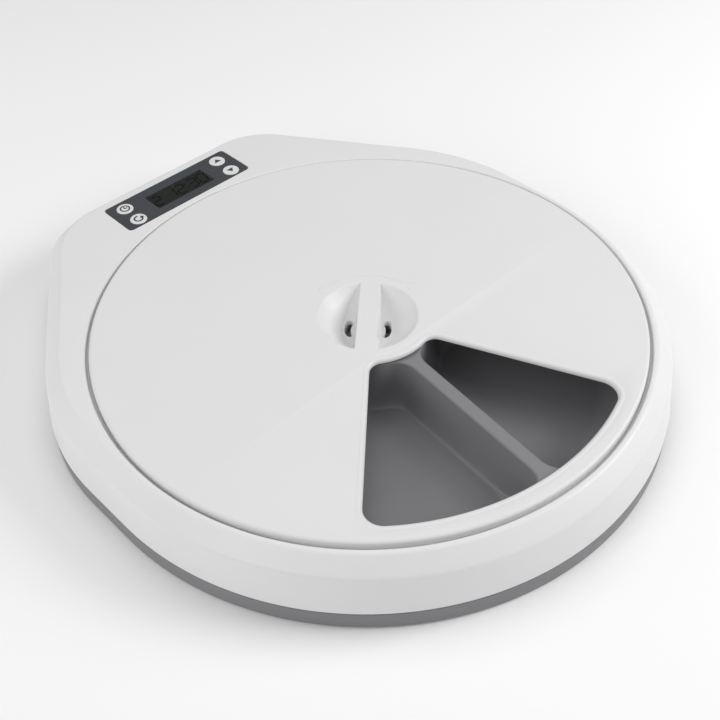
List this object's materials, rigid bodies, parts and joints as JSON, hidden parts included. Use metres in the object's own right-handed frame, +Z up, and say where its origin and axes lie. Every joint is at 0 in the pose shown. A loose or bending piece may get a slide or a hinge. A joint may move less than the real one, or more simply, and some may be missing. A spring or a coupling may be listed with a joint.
{
  "type": "automatic pet feeder",
  "caption": "Low round automatic pet feeder: a gray compartment tray turns under a white twist-lock lid with one wedge opening; display and buttons on a flat rear block.",
  "frame": {"origin": "middle of the footprint, on the floor", "axes": "+Z up, +Y towards the rear block with the display, +X to the right seen from the front"},
  "size_m": [0.3168, 0.351, 0.0422],
  "materials": {
    "shell": "fine satin, white",
    "gray_plastic": "satin, mid gray",
    "slate": "printed film, satin",
    "display": "smooth, dark",
    "board": "solder mask",
    "steel": "plated",
    "black_plastic": "moulded",
    "acetal": "smooth",
    "rubber": "soft, matt",
    "cell_skin": "printed sleeve"
  },
  "bodies": {
    "housing": {"body_shell": "shell", "base_pan": "gray_plastic", "center_post": "gray_plastic", "control_label": "slate", "display_module": "display", "display_window": "display", "control_board": "board", "index_sensor": "board", "motor": "steel", "case_screw_1": "steel", "case_screw_2": "steel", "case_screw_3": "steel", "case_screw_4": "steel", "case_screw_5": "steel", "case_screw_6": "steel", "contact_plate_left": "steel", "contact_plate_right": "steel", "contact_spring_left_1": "steel", "contact_spring_left_2": "steel", "contact_spring_right_1": "steel", "contact_spring_right_2": "steel", "gearbox_case": "black_plastic", "battery_box_left": "black_plastic", "battery_box_right": "black_plastic", "switch_set": "black_plastic", "switch_repeat": "black_plastic", "switch_up": "black_plastic", "switch_down": "black_plastic", "tray_bearing": "acetal", "foot_1": "rubber", "foot_2": "rubber", "foot_3": "rubber", "foot_4": "rubber", "foot_5": "rubber", "foot_6": "rubber", "battery_left_1": "cell_skin", "battery_left_2": "cell_skin", "battery_right_1": "cell_skin", "battery_right_2": "cell_skin"},
    "lid": {"lid": "shell"},
    "tray": {"food_tray": "gray_plastic", "tray_gear": "acetal", "index_magnet_1": "steel", "index_magnet_2": "steel", "index_magnet_3": "steel", "index_magnet_4": "steel", "index_magnet_5": "steel"},
    "pinion": {"drive_pinion": "acetal"},
    "button_set": {"button_set": "shell"},
    "button_repeat": {"button_repeat": "shell"},
    "button_up": {"button_up": "shell"},
    "button_down": {"button_down": "shell"},
    "battery_door_left": {"battery_door_left": "gray_plastic"},
    "battery_door_right": {"battery_door_right": "gray_plastic"}
  },
  "joints": [
    {"name": "tray_spin", "type": "hinge", "parent": "housing", "child": "tray", "pos_m": [0, -0.0171, 0.02], "axis": [0, 0, 1], "continuous": true},
    {"name": "pinion_spin", "type": "hinge", "parent": "housing", "child": "pinion", "pos_m": [0, 0.13565, 0.014], "axis": [0, 0, 1], "continuous": true},
    {"name": "lid_turn", "type": "hinge", "parent": "housing", "child": "lid", "pos_m": [0, -0.0171, 0.04], "axis": [0, 0, 1], "range_deg": [0, 48]},
    {"name": "button_set_press", "type": "slide", "parent": "housing", "child": "button_set", "axis": [0, 0, -1], "range_m": [0, 0.0008], "stiffness_N_per_m": 500, "springref_m": -0.002},
    {"name": "button_repeat_press", "type": "slide", "parent": "housing", "child": "button_repeat", "axis": [0, 0, -1], "range_m": [0, 0.0008], "stiffness_N_per_m": 500, "springref_m": -0.002},
    {"name": "button_up_press", "type": "slide", "parent": "housing", "child": "button_up", "axis": [0, 0, -1], "range_m": [0, 0.0008], "stiffness_N_per_m": 500, "springref_m": -0.002},
    {"name": "button_down_press", "type": "slide", "parent": "housing", "child": "button_down", "axis": [0, 0, -1], "range_m": [0, 0.0008], "stiffness_N_per_m": 500, "springref_m": -0.002},
    {"name": "battery_door_left_slide", "type": "slide", "parent": "housing", "child": "battery_door_left", "axis": [0, -1, 0], "range_m": [0, 0.034]},
    {"name": "battery_door_right_slide", "type": "slide", "parent": "housing", "child": "battery_door_right", "axis": [0, -1, 0], "range_m": [0, 0.034]}
  ],
  "couplings": [
    {"joint": "pinion_spin", "follows": "tray_spin", "ratio": -9.1667}
  ]
}
